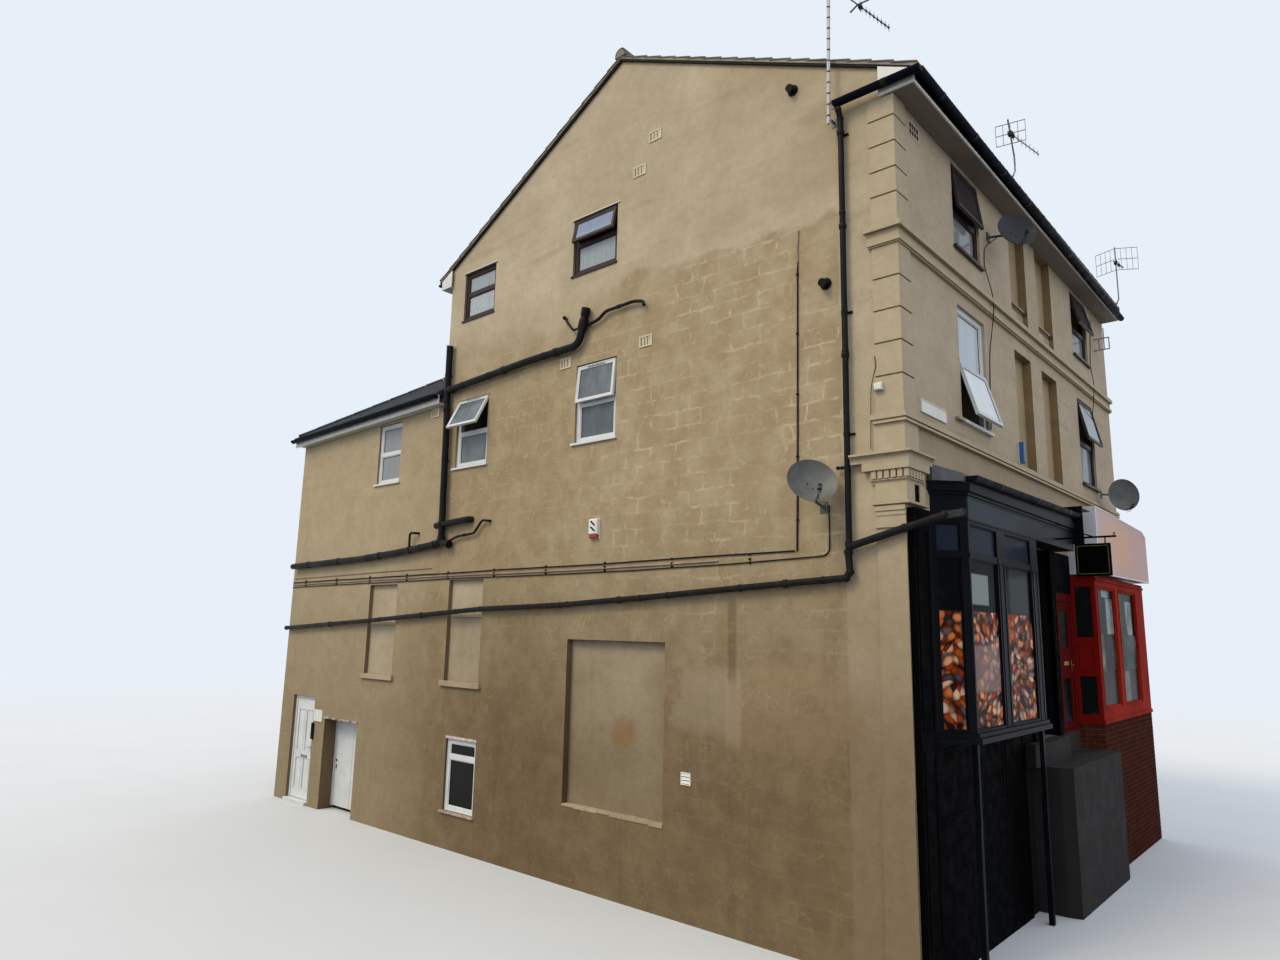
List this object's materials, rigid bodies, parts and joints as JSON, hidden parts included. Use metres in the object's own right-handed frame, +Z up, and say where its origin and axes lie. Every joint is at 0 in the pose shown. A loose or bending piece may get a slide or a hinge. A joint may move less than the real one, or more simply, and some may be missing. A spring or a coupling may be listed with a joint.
{
  "type": "corner shop building",
  "caption": "Rendered brick corner building on a slope: shopfront with canted bay, moulded corner pilaster, gable with windows and pipes, rear wing and hinged doors.",
  "frame": {"origin": "centre of the footprint, at the lowest ground level", "axes": "+X to the right along the shop front, +Y back along the side street, +Z up"},
  "size_m": [10.6878, 15.5387, 13.0199],
  "materials": {
    "render_tan": "painted render over brick",
    "stone_grey": "grey stone or concrete",
    "brick_brown": "brown brick in mortar",
    "roof_tile": "concrete tiles with lichen",
    "slate_dark": "dark slates",
    "timber_floor": "floorboards",
    "paint_white": "white gloss boards",
    "upvc_white": "white plastic frames",
    "timber_brown": "dark brown stained timber",
    "soffit_brown": "weathered painted boards",
    "plastic_black": "black rainwater goods",
    "glass_clear": "window glass",
    "paint_navy": "dark blue gloss joinery",
    "lead_grey": "lead sheet",
    "paint_black": "black gloss paint",
    "paint_red": "red gloss joinery",
    "board_peach": "bare painted sign board",
    "metal_grey": "galvanised and grey painted metal",
    "clay_vent": "clay air bricks",
    "box_white": "plastic boxes"
  },
  "bodies": {
    "building": {"side_wall": "render_tan", "front_wall": "render_tan", "front_wall_piers": "render_tan", "party_wall": "render_tan", "rear_wall": "render_tan", "extension_upper_wall": "render_tan", "extension_lower_wall": "render_tan", "extension_yard_walls": "render_tan", "lower_floor": "stone_grey", "upper_floors": "timber_floor", "front_roof_slope": "roof_tile", "rear_roof_slope": "roof_tile", "ridge_tiles": "roof_tile", "extension_roof": "slate_dark", "verge_undercloak": "stone_grey", "eaves_boards": "paint_white", "front_fascia": "plastic_black", "front_soffit": "soffit_brown", "gutters": "plastic_black", "downpipe": "plastic_black", "soil_pipes": "plastic_black", "cable_runs": "plastic_black", "string_courses": "render_tan", "corner_quoins": "render_tan", "corner_capital": "render_tan", "corner_pilaster": "render_tan", "white_window_frames": "upvc_white", "brown_window_frames": "timber_brown", "window_glass": "glass_clear", "window_sills": "upvc_white", "rear_door_frames": "upvc_white", "bay_roof": "lead_grey", "shop_fascia": "paint_navy", "shop_window_frame": "paint_navy", "shop_glass": "glass_clear", "shop_panelling": "paint_black", "shop_door": "paint_navy", "entrance_step": "stone_grey", "red_shop_front": "paint_red", "brick_riser": "brick_brown", "red_shop_fascia": "board_peach", "hanging_sign": "paint_black", "satellite_dishes": "metal_grey", "aerials": "metal_grey", "wall_vents": "clay_vent", "wall_boxes": "box_white"},
    "panelled_door_leaf": {"panelled_rear_door": "upvc_white"},
    "plain_door_leaf": {"plain_rear_door": "upvc_white"},
    "red_door_leaf": {"red_door": "paint_red", "red_door_glass": "glass_clear"}
  },
  "joints": [
    {"name": "panelled_door_hinge", "type": "hinge", "parent": "building", "child": "panelled_door_leaf", "pos_m": [-4.589, 7.003, 1.075], "axis": [0, 0, 1], "range_deg": [0, 90]},
    {"name": "plain_door_hinge", "type": "hinge", "parent": "building", "child": "plain_door_leaf", "pos_m": [-4.391, 4.831, 0.9], "axis": [0, 0, -1], "range_deg": [0, 90]},
    {"name": "red_door_hinge", "type": "hinge", "parent": "building", "child": "red_door_leaf", "pos_m": [0.702, -6.617, 3.2], "axis": [0, 0, 1], "range_deg": [0, 90]}
  ]
}
